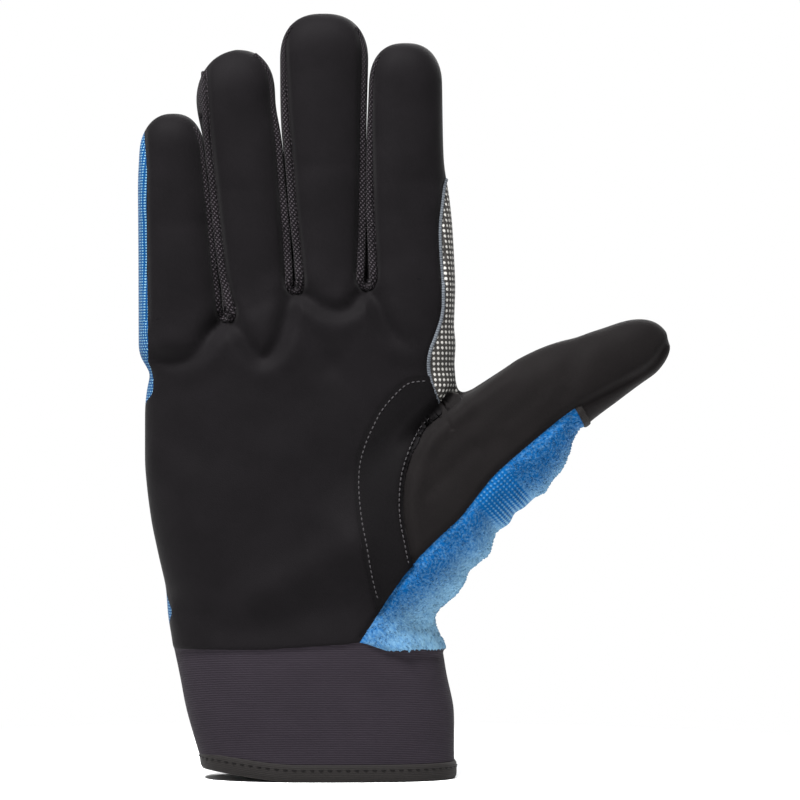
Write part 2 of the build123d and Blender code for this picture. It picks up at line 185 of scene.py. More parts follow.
# Where the padded palm rolls over into the fingers' roots, with the fingers on the line's left.
ROLLS = [(-62, 142), (-53.8, 139.6), (-45.9, 140), (-40.2, 143.5), (-36.4, 149.5), (-33, 152.2),
         (-29.8, 150), (-27.4, 145), (-22.1, 139.6), (-16.4, 141.8), (-12.4, 148), (-10.4, 157.5),
         (-8.4, 161.5), (-5.4, 160), (-1.1, 157), (5.1, 155.7), (10.4, 157.7), (13.4, 161.3), (15.6, 160),
         (18.4, 153), (24, 146), (31, 141)]
ROLL = 2.0  # how far the cloth drops there
# The fold over the thumb's root.
FOLD = [(29.6, 107), (33.5, 114.5), (39.1, 120.2), (50, 129.6), (58, 136), (66, 141.5)]
FOLD_DROP = 2.2
SUEDE_LUMPS = ((41.0, 0.35), (25.0, 0.2))  # wavelength and height of the slack in the palm
STRETCH_LUMPS = ((16.0, 0.6), (9.5, 0.4), (5.6, 0.15))


# --- curves and distances ---
def curve(points, soften=3.0):
    """A softened curve through (place, value) points, as a function of place."""
    at, value = np.array(points, float).T
    fine = np.arange(at[0], at[-1] + STEP, STEP)
    reach = int(3 * soften / STEP)
    bell = np.exp(-0.5 * (np.arange(-reach, reach + 1) * STEP / soften) ** 2)
    long = np.pad(np.interp(fine, at, value), reach, mode="reflect", reflect_type="odd")
    smooth = np.convolve(long, bell / bell.sum(), "valid")
    return lambda place: np.interp(place, fine, smooth)


def rounded_line(points, times=2):
    """An open line with its corners cut."""
    line = np.array(points, float)
    for _ in range(times):
        a, b = line[:-1], line[1:]
        pairs = np.stack([0.75 * a + 0.25 * b, 0.25 * a + 0.75 * b], 1).reshape(-1, 2)
        line = np.vstack([line[:1], pairs[1:-1], line[-1:]])
    return line


def nearest(line, x, z):
    """Distance from a line in the plane of the palm, above 0 on its left, the place along it, its length."""
    best, signed, run = np.full(x.shape, 1e9), np.full(x.shape, 1e9), np.zeros(x.shape)
    passed = 0.0
    for (x0, z0), (x1, z1) in zip(line[:-1], line[1:]):
        dx, dz = x1 - x0, z1 - z0
        length = math.hypot(dx, dz)
        t = np.clip(((x - x0) * dx + (z - z0) * dz) / length**2, 0, 1)
        far = np.hypot(x - x0 - t * dx, z - z0 - t * dz)
        side = dx * (z - z0) - dz * (x - x0)
        nearer = far < best - 1e-9
        best = np.where(nearer, far, best)
        signed = np.where(nearer, np.copysign(far, side), signed)
        run = np.where(nearer, passed + t * length, run)
        passed += length
    return signed, run, passed


def beside(line, x, z):
    """Distance from a line in the plane of the palm, above 0 on its left."""
    return nearest(line, x, z)[0]


def inside(loop, x, z):
    """Distance from a closed outline in the plane of the palm, above 0 inside it."""
    ring = np.vstack([loop, loop[:1]])
    far = np.abs(beside(ring, x, z))
    odd = np.zeros(x.shape, bool)
    for (x0, z0), (x1, z1) in zip(ring[:-1], ring[1:]):
        with np.errstate(divide="ignore", invalid="ignore"):
            odd ^= ((z0 > z) != (z1 > z)) & (x < (x1 - x0) * (z - z0) / (z1 - z0) + x0)
    return np.where(odd, far, -far)


def trimmed(line):
    """The part of a line that lies on the suede, above the thumb's stretch panel and beside the grip."""
    return line[(beside(thumb_seam, *line.T) > 1.5) & (beside(grip_front, *line.T) < -1.0)]


def step_up(value, low, high):
    """A smooth step from 0 at low to 1 at high, which may be the lower number."""
    t = np.clip((value - low) / (high - low), 0, 1)
    return t * t * (3 - 2 * t)


def meld(a, b, soft):
    """The union of two bodies, given as distances, with a soft inner corner."""
    h = np.clip(0.5 + 0.5 * (b - a) / soft, 0, 1)
    return b + (a - b) * h - soft * h * (1 - h)


def lumps(p, waves):
    """Slack in cloth: crossed waves of several lengths."""
    x, y, z = p.T
    total = np.zeros(len(p))
    for i, (length, height) in enumerate(waves):
        k = 2 * np.pi / length
        total += height * np.sin(k * (x + 0.6 * z) + 1.7 * i + 0.8 * np.sin(0.37 * k * (z - y)))
        bent = 0.9 * np.sin(0.41 * k * (x + y))
        total += height * np.sin(k * (0.9 * z - 0.5 * x + 0.5 * y) + 2.3 * i + bent)
    return 0.5 * total


# --- the glove's form as a distance field ---
def tube(across, deep, along, left, right, depth, low, low_cap, high, high_cap, power):
    """Distance to a rounded tube that runs along one direction, between a low and a high cap."""
    lo, hi = left(along), right(along)
    half = (hi - lo) / 2
    a = np.abs(across - (lo + hi) / 2) / half
    d = depth(along)
    b = np.abs(deep) / d
    c = np.maximum(np.maximum((along - high) / high_cap + 1, (low - along) / low_cap + 1), 0)
    q = np.maximum((a**power + b**power + c**power) ** (1 / power), 0.05)
    cap = np.where(along > (low + high) / 2, high_cap, low_cap)
    parts = ((a, half), (b, d), (c, cap))
    slope = np.sqrt(sum(((part / q) ** (power - 1) / size) ** 2 for part, size in parts))
    return (q - 1) / np.maximum(slope, 1e-4)


hand_left, hand_right, hand_depth = curve(HAND_LEFT, 2.5), curve(HAND_RIGHT, 2.5), curve(HAND_DEPTH)
hand_top = curve(HAND_TOP)
finger_depth = curve(FINGER_DEPTH)
for shape in FINGERS.values():
    shape["sides"] = curve(shape["left"]), curve(shape["right"])
    shape["seams"] = curve(shape["left_seam"], 2), curve(shape["right_seam"], 2)
thumb_upper, thumb_lower, thumb_depth = curve(THUMB_UPPER), curve(THUMB_LOWER, 1.3), curve(THUMB_DEPTH)
cuff_top = curve(CUFF_TOP, 2)
thumb_seam, terry_back = rounded_line(THUMB_SEAM), rounded_line(TERRY_BACK)
patch_outer, patch_inner = rounded_line(PATCH_OUTER), rounded_line(PATCH_INNER)
grip_front, grip_back = rounded_line(GRIP_FRONT), rounded_line(GRIP_BACK)
grip_low, tape_line = np.array(GRIP_LOW, float), np.array(TAPE_LINE, float)
webs = {name: np.array(loop, float) for name, loop in WEBS.items()}


def up_thumb(x, z):
    """Distance up the thumb and across it."""
    dx, dz = x - THUMB_ROOT[0], z - THUMB_ROOT[1]
    c, s = math.cos(THUMB_RISE), math.sin(THUMB_RISE)
    return c * dx + s * dz, s * dx - c * dz


def rim_lift(x):
    """How far the rim of the cuff rises on the little finger's side."""
    return 3.6 * step_up(-x, 8, 47)


def hand_form(p):
    x, y, z = p.T
    return tube(x, y, z, hand_left, hand_right, hand_depth, -60.0, 10.0, hand_top(x), 12.0, HAND_POWER)


def finger_tube(p, shape):
    x, y, z = p.T
    middle = (shape["left"][-1][1] + shape["right"][-1][1]) / 2
    top = shape["top"] + shape.get("slant", 0) * np.minimum(0, x - middle)
    return tube(x, y, z, *shape["sides"], finger_depth, 136.0, 12.0, top, shape["cap"], FINGER_POWER)


def thumb_form(p):
    along, across = up_thumb(p[:, 0], p[:, 2])
    return tube(across, p[:, 1] - THUMB_Y, along, thumb_upper, thumb_lower, thumb_depth, -18.0, 14.0,
                THUMB_END, THUMB_CAP, THUMB_POWER)


# --- relief of the palm's side: seams pulled in, creases and slack, kept as a height map ---
MAP_STEP = 0.3
MAP_X, MAP_Z = np.arange(-72, 125, MAP_STEP), np.arange(-6, 266, MAP_STEP)


def relief_map():
    """How far the palm's side rises, and where it is the thumb's slack stretch cloth, from 0 to 1."""
    x, z = np.meshgrid(MAP_X, MAP_Z, indexing="ij")
    x, z = x.ravel(), z.ravel()
    height = np.zeros(x.shape)
    for start, end, width, rise in CREASES:
        near = np.abs(beside(np.array([start, end], float), x, z))
        height += rise * np.exp(-((near / width) ** 2))

    def pull(near, depth, width):
        return -depth * np.exp(-((near / width) ** 2))

    off, run, length = nearest(rounded_line(ROLLS, 3), x, z)
    fade = step_up(run, 0, 7) * step_up(run, length, length - 14)
    hill, valley, beyond = (
        np.exp(-(((off - place) / width) ** 2)) for place, width in ((-3.2, 4), (2.2, 3.1), (8, 4.5))
    )
    height += fade * ROLL * (0.4 * hill - valley + 0.3 * beyond)
    off, run, length = nearest(rounded_line(FOLD, 3), x, z)
    fade = step_up(run, 0, 9) * step_up(run, length, length - 9)
    height -= FOLD_DROP * fade * step_up(off, -0.8, 2.4) * step_up(off, 9, 3)
    height += 0.8 * fade * np.exp(-(((off + 2.5) / 3) ** 2))

    for shape in FINGERS.values():
        for seam, side in zip(shape["seams"], (-1, 1)):
            low = shape["start"][0 if side < 0 else 1][1] - 4
            wanted = (z > low) & (z < shape["top"] - 1) & (np.abs(x - seam(z)) < 8)
            fade = step_up(z, low, low + 6)
            height += np.where(wanted, fade * pull(x - seam(z), 1.0, 1.0), 0)
        fold = np.exp(-(((z - shape["fold"]) / 3.0) ** 2))
        wanted = (x > shape["sides"][0](z)) & (x < shape["sides"][1](z)) & (z < shape["top"])
        height += np.where(wanted & (z > 175), -0.15 * fold, 0)
    for loop in webs.values():
        deep = inside(loop, x, z)
        upper = step_up(z, loop[:, 1].max() - 2, loop[:, 1].max() - 9)
        height += upper * (pull(deep, 0.9, 0.9) - 1.2 * step_up(deep, 1.6, 3.0))
    below, cuff = beside(thumb_seam, x, z), z - cuff_top(x)
    height += pull(below, 1.0, 1.3) * step_up(cuff, -1, 2)
    inner = beside(patch_inner, x, z)
    within = step_up(z, 66, 72)
    height += within * pull(inner, 1.5, 1.5) + within * 1.0 * np.exp(-(((inner - 4) / 3) ** 2))
    grip = beside(grip_front, x, z)
    height += np.where((z < 184) & (z > 118), pull(grip, 0.5, 0.8), 0)
    height += (step_up(cuff, -1.2, 0.8) - 0.5) * np.exp(-((cuff / 5.5) ** 2))
    stretch = step_up(-below, 0, 3.5) * step_up(cuff, 0, 2) * step_up(x, 6, 16)
    tip = step_up(up_thumb(x, z)[0], 80, 76)
    return height.reshape(len(MAP_X), -1), (stretch * tip).reshape(len(MAP_X), -1)


RELIEF, STRETCH = relief_map()


def look_up(table, x, z):
    i = np.clip((x - MAP_X[0]) / MAP_STEP, 0, len(MAP_X) - 1.001)
    k = np.clip((z - MAP_Z[0]) / MAP_STEP, 0, len(MAP_Z) - 1.001)
    i0, k0 = i.astype(int), k.astype(int)
    u, v = i - i0, k - k0
    return ((1 - u) * (1 - v) * table[i0, k0] + u * (1 - v) * table[i0 + 1, k0]
            + (1 - u) * v * table[i0, k0 + 1] + u * v * table[i0 + 1, k0 + 1])


def dressed(p, form):
    """A form with the cloth's relief on it."""
    x, y, z = p.T
    front = step_up(-y, 0.5, 7.0)
    slack = step_up(z, 40, 60)
    stretch = look_up(STRETCH, x, z)
    side = step_up(-y, -14, -4)
    suede = lumps(p, SUEDE_LUMPS) * slack * (1 - stretch) * step_up(np.abs(y), 3, 11)
    return form - front * look_up(RELIEF, x, z) - suede - side * stretch * (lumps(p, STRETCH_LUMPS) + 0.5)


def whole_hand(p):
    fingers = None
    for shape in FINGERS.values():
        one = finger_tube(p, shape)
        fingers = one if fingers is None else meld(fingers, one, 1.0)
    return meld(meld(fingers, hand_form(p), 3.0), thumb_form(p), 7.0)


def one_finger(shape):
    return lambda p: meld(finger_tube(p, shape), hand_form(p), 3.0)


# --- surfaces ---
def skin(field, low, high, step):
    """The field's zero surface as points and triangles, by surface nets."""
    axes = [np.arange(a, b + step, step) for a, b in zip(low, high)]
    shape = [len(a) for a in axes]
    grid = np.stack(np.meshgrid(*axes, indexing="ij"), -1).reshape(-1, 3)
    f = field(grid).reshape(shape)
    full = f < 0
    count = sum(
        full[i:shape[0] - 1 + i, j:shape[1] - 1 + j, k:shape[2] - 1 + k].astype(int)
        for i, j, k in product((0, 1), repeat=3)
    )
    active = (count > 0) & (count < 8)
    index = np.full(active.shape, -1)
    index[active] = np.arange(active.sum())
    cells = np.argwhere(active)
    total, number = np.zeros((len(cells), 3)), np.zeros(len(cells))
    unit = np.eye(3, dtype=int)
    for axis in range(3):
        for j, k in product((0, 1), repeat=2):
            a = cells + j * unit[(axis + 1) % 3] + k * unit[(axis + 2) % 3]
            b = a + unit[axis]
            fa, fb = f[tuple(a.T)], f[tuple(b.T)]
            hit = (fa < 0) != (fb < 0)
            t = np.where(hit, fa / np.where(hit, fa - fb, 1), 0)
            total[hit] += (a + t[:, None] * unit[axis])[hit]
            number[hit] += 1
    points = np.array(low) + step * total / number[:, None]
    quads = []
    for axis in range(3):
        u, v = unit[(axis + 1) % 3], unit[(axis + 2) % 3]
        a, b = [slice(None)] * 3, [slice(None)] * 3
        a[axis], b[axis] = slice(0, -1), slice(1, None)
        node = np.argwhere(full[tuple(a)] != full[tuple(b)])
        node = node[np.all(node - u - v >= 0, 1) & np.all(node < np.array(index.shape), 1)]
        quad = np.stack([index[tuple((node + o).T)] for o in (-u - v, -v, 0 * u, -u)], 1)
        quad = np.where(full[tuple(node.T)][:, None], quad, quad[:, ::-1])
        quads.append(quad[(quad >= 0).all(1)])
    quads = np.vstack(quads)
    d1 = np.linalg.norm(points[quads[:, 0]] - points[quads[:, 2]], axis=1)
    d2 = np.linalg.norm(points[quads[:, 1]] - points[quads[:, 3]], axis=1)
    short = (d1 <= d2)[:, None]
    first = np.where(short, quads[:, [0, 1, 2]], quads[:, [0, 1, 3]])
    second = np.where(short, quads[:, [0, 2, 3]], quads[:, [1, 2, 3]])
    return points, np.vstack([first, second])


def slope_of(field, p, reach=0.3):
    g = np.empty_like(p)
    for axis in range(3):
        d = np.zeros(3)
        d[axis] = reach
        g[:, axis] = (field(p + d) - field(p - d)) / (2 * reach)
    return g


def settle(field, p, times=3):
    """Points moved onto the field's zero surface."""
    for _ in range(times):
        g = slope_of(field, p)
        move = g * (field(p) / np.maximum((g * g).sum(1), 0.05))[:, None]
        size = np.linalg.norm(move, axis=1, keepdims=True)
        p = p - move * np.minimum(1, 1.5 / np.maximum(size, 1e-9))
    return p


def relax(p, faces, times=4):
    """Points evened out among their neighbours, the open edge left as it is."""
    edges = np.vstack([faces[:, [0, 1]], faces[:, [1, 2]], faces[:, [2, 0]]])
    keys, counts = np.unique(np.sort(edges, 1), axis=0, return_counts=True)
    fixed = np.zeros(len(p), bool)
    fixed[keys[counts == 1].ravel()] = True
    i, j = np.concatenate([keys, keys[:, ::-1]]).T
    degree = np.maximum(np.bincount(i, minlength=len(p)), 1)
    for _ in range(times):
        mean = np.stack([np.bincount(i, p[j, a], len(p)) / degree for a in range(3)], 1)
        p = np.where(fixed[:, None], p, p + 0.6 * (mean - p))
    return p


def split(p, faces, value, snap=0.12):
    """The triangles cut along the line where value, one number for each point, is 0."""
    sign = np.where(np.abs(value) < snap, 0, np.sign(value)).astype(int)
    edge = np.sort(np.vstack([faces[:, [0, 1]], faces[:, [1, 2]], faces[:, [2, 0]]]), 1)
    crossing = sign[edge[:, 0]] * sign[edge[:, 1]] < 0
    keys, back = np.unique(edge[crossing], axis=0, return_inverse=True)
    middle = np.full(len(edge), -1)
    middle[crossing] = len(p) + back.ravel()
    t = value[keys[:, 0]] / (value[keys[:, 0]] - value[keys[:, 1]])
    p = np.vstack([p, p[keys[:, 0]] + t[:, None] * (p[keys[:, 1]] - p[keys[:, 0]])])
    m = middle.reshape(3, -1).T
    cuts = (m >= 0).sum(1)
    out = [faces[cuts == 0]]
    for turn in range(3):
        a, b, c = np.roll(faces, -turn, 1).T
        ab, _, ca = np.roll(m, -turn, 1).T
        two = (cuts == 2) & (ab >= 0) & (ca >= 0)
        out += [np.stack(s, 1)[two] for s in ((a, ab, ca), (ab, b, c), (ab, c, ca))]
        one = (cuts == 1) & (ab >= 0)
        out += [np.stack(s, 1)[one] for s in ((a, ab, c), (ab, b, c))]
    return p, np.vstack(out)


# --- meshes ---
def mesh_object(name, points, faces, normals, weave, mat):
    """A mesh object from points in millimetres. normals is one a face corner, and 0 leaves it to Blender."""
    mesh = bpy.data.meshes.new(name)
    mesh.vertices.add(len(points))
    mesh.vertices.foreach_set("co", (points * MM).astype(np.float32).ravel())
    mesh.loops.add(3 * len(faces))
    mesh.loops.foreach_set("vertex_index", faces.astype(np.int32).ravel())
    mesh.polygons.add(len(faces))
    mesh.polygons.foreach_set("loop_start", np.arange(0, 3 * len(faces), 3, dtype=np.int32))
    mesh.update(calc_edges=True)
    mesh.polygons.foreach_set("use_smooth", np.ones(len(faces), bool))
    attribute = mesh.attributes.new("weave", "FLOAT_VECTOR", "POINT")
    attribute.data.foreach_set("vector", weave.astype(np.float32).ravel())
    if normals is not None:
        mesh.normals_split_custom_set(normals.reshape(-1, 3).tolist())
    mesh.materials.append(mat)
    thing = bpy.data.objects.new(name, mesh)
    bpy.context.scene.collection.objects.link(thing)
    return thing


def panel(name, points, faces, normals, weave, mat, raised, thick):
    """A sewn panel: the skin's triangles, given a thickness inward and closed round their edge."""
    used, back = np.unique(faces, return_inverse=True)
    tri = back.reshape(-1, 3)
    n = len(used)
    out = points[used] + raised * normals[used]
    unit = normals[used]
    edges = np.vstack([tri[:, [0, 1]], tri[:, [1, 2]], tri[:, [2, 0]]])
    code, reverse = edges[:, 0] * n + edges[:, 1], edges[:, 1] * n + edges[:, 0]
    open_edge = edges[~np.isin(code, reverse)]
    i, j = open_edge.T
    if raised:
        rim = np.zeros(n, bool)
        rim[open_edge.ravel()] = True
        out = out - np.where(rim, RIM_SINK * raised, 0)[:, None] * unit
    inner = points[used] - thick * unit
    rim_faces = np.vstack([np.stack([j, i, i + n], 1), np.stack([j, i + n, j + n], 1)])
    every = np.vstack([tri, tri[:, ::-1] + n, rim_faces])
    corner = np.vstack([unit[tri.ravel()], -unit[tri[:, ::-1].ravel()], np.zeros((3 * len(rim_faces), 3))])
    return mesh_object(name, np.vstack([out, inner]), every, corner, np.vstack([weave[used]] * 2), mat)


# --- materials ---
def linear(colour):
    """A colour given as it is seen, in the numbers that a shader takes."""
    return [ALBEDO * ((c / 255 + 0.055) / 1.055) ** 2.4 for c in colour] + [1.0]


def shade(tree, kind, inputs, **settings):
    """The outputs of a new shader node. Its inputs are numbers or other nodes' outputs."""
    made = tree.nodes.new("ShaderNode" + kind)
    for name, value in settings.items():
        setattr(made, name, value)
    for name, value in inputs.items():
        if isinstance(value, bpy.types.NodeSocket):
            tree.links.new(value, made.inputs[name])
        else:
            made.inputs[name].default_value = value
    return made.outputs


def maths(tree, operation, *values):
    return shade(tree, "Math", dict(enumerate(values)), operation=operation)["Value"]


def ramp(tree, value, low, high, start=0.0, end=1.0, kind="SMOOTHSTEP"):
    """From start at low to end at high."""
    numbers = {"Value": value, "From Min": low, "From Max": high, "To Min": start, "To Max": end}
    return shade(tree, "MapRange", numbers, interpolation_type=kind)["Result"]


def terry_sheen_and_ribs(tree, weave, grain):
    """Terry pales towards the thumb's outer rim, a painted highlight of the light on its pile, and a ribbed
    zone crosses it. Gives the share of its pale colour, and height.
    """
    axes = shade(tree, "SeparateXYZ", {"Vector": weave})
    across, along = axes["X"], axes["Y"]
    # painted highlight: the colour pales towards the thumb's outer rim, where the pile catches the light
    rim = maths(tree, "MULTIPLY", *(ramp(tree, across, *numbers) for numbers in TERRY_RIM_SHEEN))
    zone = maths(tree, "MULTIPLY", ramp(tree, along, *RIBS[:2]), ramp(tree, along, *RIBS[2:], 1.0, 0.0))
    rib, cross = (
        maths(tree, "SINE", maths(tree, "MULTIPLY", place, 2 * math.pi / pitch))
        for place, pitch in ((along, RIB_PITCH), (across, RIB_CELL))
    )
    ribs = maths(tree, "ADD", ramp(tree, rib, -1.0, 1.0, 0.05, 0.45), ramp(tree, cross, -1.0, 1.0, 0.0, 0.25))
    height = shade(tree, "Mix", {"Factor": zone, "A": grain, "B": ribs})["Result"]
    spread = maths(tree, "MULTIPLY", maths(tree, "SUBTRACT", height, 0.45), 1.1)
    return maths(tree, "ADD", rim, spread), height


def pattern_height(tree, pattern, place):
    """Dots in a square grid, fine bands, or a grain."""
    if pattern == "dots":
        numbers = {"Vector": place, "Randomness": 0.0, "Scale": 1.0}
        return ramp(tree, shade(tree, "TexVoronoi", numbers, voronoi_dimensions="2D")["Distance"], 0.38, 0.18)
    if pattern == "bands":
        numbers = {"Vector": place, "Scale": 2 * math.pi / 20, "Distortion": 0.6, "Detail Scale": 2.0}
        return shade(tree, "TexWave", numbers, bands_direction="Y")["Fac"]
    return shade(tree, "TexNoise", {"Vector": place, "Scale": 1.0, "Detail": 4.0, "Roughness": 0.65})["Fac"]


def finish(name, dark, light, pattern="", pitch=(1.0, 1.0), bump=0.1, rough=0.8, sheen=0.0, patchy=0.0,
           turn=0.0):
    """A cloth or hide. Its pattern lies in the weave attribute, which is in millimetres."""
    mat = bpy.data.materials.new(name)
    mat.use_nodes = True
    tree = mat.node_tree
    shader = tree.nodes["Principled BSDF"].inputs
    shader["Roughness"].default_value = rough
    shader["Specular IOR Level"].default_value = SPECULAR
    if sheen:
        shader["Sheen Weight"].default_value = sheen
        shader["Sheen Roughness"].default_value = 0.45
    if light is None:
        shader["Base Color"].default_value = linear(dark)
        return mat
    weave = shade(tree, "Attribute", {}, attribute_name="weave")["Vector"]
    turned = shade(tree, "Mapping", {"Vector": weave, "Rotation": (0, 0, turn)})["Vector"]
    scale = (1 / pitch[0], 1 / pitch[1], 1 / pitch[0])
    place = shade(tree, "Mapping", {"Vector": turned, "Scale": scale})["Vector"]
    height = mixed = pattern_height(tree, pattern, place)
    if pattern == "terry":
        mixed, height = terry_sheen_and_ribs(tree, weave, height)
    colours = {"A": linear(dark), "B": linear(light), "Factor": mixed}
    result = shade(tree, "Mix", colours, data_type="RGBA")["Result"]
    if patchy:
        cloud = shade(tree, "TexNoise", {"Vector": weave, "Scale": 0.09, "Detail": 3.0})["Fac"]
        strength = ramp(tree, cloud, 0.3, 0.7, 1 - patchy, 1 + patchy, "LINEAR")
        result = shade(tree, "VectorMath", {0: result, "Scale": strength}, operation="SCALE")["Vector"]
    relief = shade(tree, "Bump", {"Strength": 0.8, "Distance": bump * MM, "Height": height})["Normal"]
    tree.links.new(result, shader["Base Color"])
    tree.links.new(relief, shader["Normal"])
    return mat


SUEDE = finish("suede", (17, 15, 17), (30, 27, 30), "grain", (0.5, 0.5), 0.12, 0.7, 0.02, 0.12)
# Painted sheen: the thumb's suede is the palm's suede given lighter colours, for the sheen that light gives
# it.
SHEEN_SUEDE = finish("sheen_lit_suede", (22, 19, 20), (36, 33, 33), "grain", (0.5, 0.5), 0.12, 0.72, 0.02, 0.1)
PATCH = finish("patch_suede", (13, 11, 13), (24, 22, 24), "grain", (0.6, 0.6), 0.14, 0.75, 0.02, 0.1)
TWILL = finish("twill", (24, 21, 24), (88, 82, 87), "dots", (0.95, 1.2), 0.35, 0.85, 0.02, 0.1, math.pi / 4)
PIQUE = finish("pique", (12, 84, 146), (146, 198, 226), "dots", (1.2, 0.95), 0.25, 0.85, 0.03, 0.06)
# the terry's pale colour serves its painted rim highlight as well as its grain
TERRY = finish("terry", (3, 100, 172), (166, 220, 250), "terry", (0.9, 0.9), 0.8, 0.95, 0.03, 0.08)
GRIP = finish("grip_mesh", (78, 76, 74), (255, 252, 246), "dots", (1.8, 1.8), 0.25, 0.7, 0.02, 0.05)
CUFF = finish("cuff_fabric", (42, 37, 44), (64, 58, 66), "bands", (0.6, 0.6), 0.08, 0.85, 0.02, 0.06)
BINDING = finish("binding", (44, 42, 42), (58, 55, 54), "bands", (0.6, 0.6), 0.06, 0.75, 0.03, 0.05)
EDGE = finish("grip_edge", (92, 98, 106), (136, 142, 150), "bands", (0.8, 0.8), 0.1, 0.8, 0.04, 0.05)
THREAD = finish("thread", (88, 86, 88), None, rough=0.6)
DARK_THREAD = finish("dark_thread", (30, 28, 29), None, rough=0.6)
LOOP = finish("loop", (30, 30, 32), (56, 56, 58), "grain", (0.7, 0.7), 0.5, 0.95, 0.5)
HOOK = finish("hook", (24, 24, 26), (50, 50, 52), "dots", (1.1, 1.1), 0.5, 0.6)
STRAP = finish("strap", (30, 29, 31), (52, 50, 52), "bands", (0.8, 0.8), 0.12, 0.8, 0.2)
RUBBER = finish("rubber", (26, 26, 28), None, rough=0.45)
LABEL = finish("label", (225, 225, 222), None, rough=0.6)


# --- pieces ---
def hold(thing, nodes, bodies, ends=None):
    """A piece rides on a body, or, when it spans two, stays where it was made; either way it stands for CAD
    nodes, which are hidden.
    """
    if ends:
        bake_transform(thing)
    else:
        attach(thing, bodies)
    if nodes:
        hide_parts(*nodes)


def sewn(name, points, faces, normals, weave, mat, nodes, bodies, ends=None, raised=0.0, thick=PANEL):
    if len(faces):
        hold(panel(name, points, faces, normals, weave, mat, raised, thick), nodes, bodies, ends)


def start_height(p):
    """Height above the line where the fingers leave the hand."""
    knots = [FINGERS["little"]["start"][0]] + [shape["start"][1] for shape in FINGERS.values()]
    xs, zs = np.array(knots, float).T
    return p[:, 2] - np.interp(p[:, 0], xs, zs)


def back_edge(x, z):
    """Depth of the seam between front and back. It comes forward where the blue shows beside the palm."""
    on_thumb = step_up(up_thumb(x, z)[0], 22, 36) * step_up(x, 36, 46)
    wave = 0.6 * np.sin(z / 6.3) + 0.5 * np.sin(z / 3.7 + 1)
    low_band, high_band = np.exp(-(((z - 56) / 5) ** 2)), step_up(z, 124, 131) * step_up(z, 158, 142)
    forward = step_up(-x, 40, 50) * (7 * low_band + 6.5 * high_band)
    crotch = 5 * np.exp(-(((x - 47) / 6) ** 2) - ((z - 127) / 7) ** 2)
    return (1 - on_thumb) * (-0.4 + wave) + on_thumb * (THUMB_Y + 2.5) + crotch - forward


def prepared(form, low, high, grid):
    """The dressed form's points and triangles."""
    raw, faces = skin(form, low, high, grid)
    return settle(lambda q: dressed(q, form(q)), relax(raw, faces)), faces


def cut(form, p, faces, lines):
    """The surface cut along lines, and its normals."""
    for line in lines:
        p, faces = split(p, faces, line(p))
    p = settle(lambda q: dressed(q, form(q)), p, 1)
    return p, faces, unit_normals(form, p)


def unit_normals(form, p):
    g = slope_of(lambda q: dressed(q, form(q)), p)
    return g / np.maximum(np.linalg.norm(g, axis=1, keepdims=True), 1e-9)


# --- how the cloths' patterns lie ---
def unrolled(p, left, right, depth):
    """Flat over the middle of the back, and round the sides as the cloth runs."""
    x, y, z = p.T
    lo, hi, round_side = left(z), right(z), depth(z)
    flat = np.maximum((hi - lo) / 2 - round_side, 0)
    off = x - (lo + hi) / 2
    turned = flat + round_side * np.arctan2(np.abs(off) - flat, y)
    return np.stack([x + np.where(np.abs(off) > flat, np.sign(off) * turned - off, 0), z, x], 1)


def flat_weave(p):
    return p[:, [0, 2, 1]]


def wall_weave(p, shape):
    """Runs from the palm's side to the back on each wall of a finger."""
    x, y, z = p.T
    left, right = shape["sides"]
    return np.stack([np.abs(x - (left(z) + right(z)) / 2) + y, z, x], 1)


def thumb_weave(p):
    """Flat over the thumb's palm side, then round its lower side to its back, and up the thumb."""
    along, across = up_thumb(p[:, 0], p[:, 2])
    lo, hi, round_side = thumb_upper(along), thumb_lower(along), thumb_depth(along)
    deep = p[:, 1] - THUMB_Y
    flat = np.maximum((hi - lo) / 2 - round_side, 0)
    off = across - (lo + hi) / 2
    turned = flat + round_side * np.arctan2(off - flat, -deep)
    behind = 2 * flat + round_side * math.pi - off
    run = np.select([off > flat, deep < 0], [turned, off], behind)
    return np.stack([run, along, p[:, 1]], 1)


# --- cutting the glove into panels ---
def tape_near(p):
    return beside(tape_line, *up_thumb(p[:, 0], p[:, 2]))


def on_palm(measure, line):
    """A measure in the plane of the palm, as a function of points."""
    return lambda q: measure(line, q[:, 0], q[:, 2])


